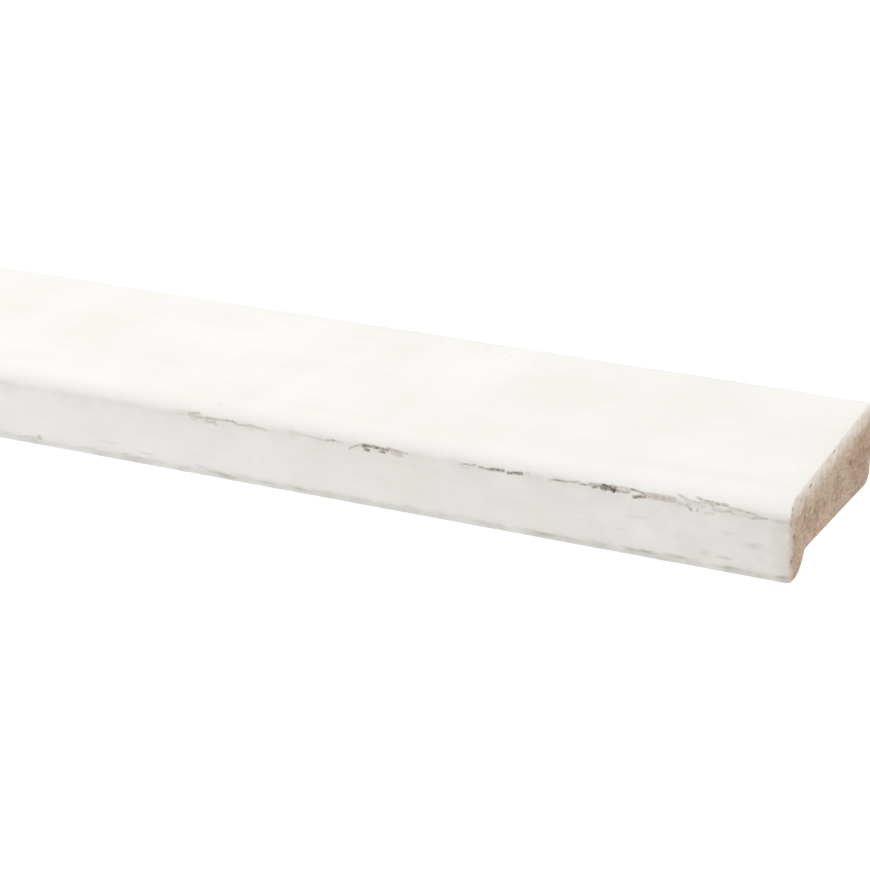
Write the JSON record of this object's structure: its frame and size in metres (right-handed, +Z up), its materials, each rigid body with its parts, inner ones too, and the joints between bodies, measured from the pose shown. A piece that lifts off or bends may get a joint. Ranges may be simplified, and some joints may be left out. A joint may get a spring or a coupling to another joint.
{
  "type": "glazing bead",
  "caption": "Nosed glazing bead in white-primed hardwood: a flat bar with eased edges and a rebate that tapers out behind its nose, to seat on a sloping sill.",
  "frame": {"origin": "under the middle of the bead, on the surface that its nose and heel lie on", "axes": "+X along the bead, +Y from the nose at the front to the heel at the back, +Z up through the flat top face"},
  "size_m": [0.25, 0.057, 0.02],
  "materials": {
    "primed_wood": "matt white primer, brushed on, with bare sawn ends"
  },
  "bodies": {
    "root": {"glazing_bead": "primed_wood"}
  },
  "joints": []
}
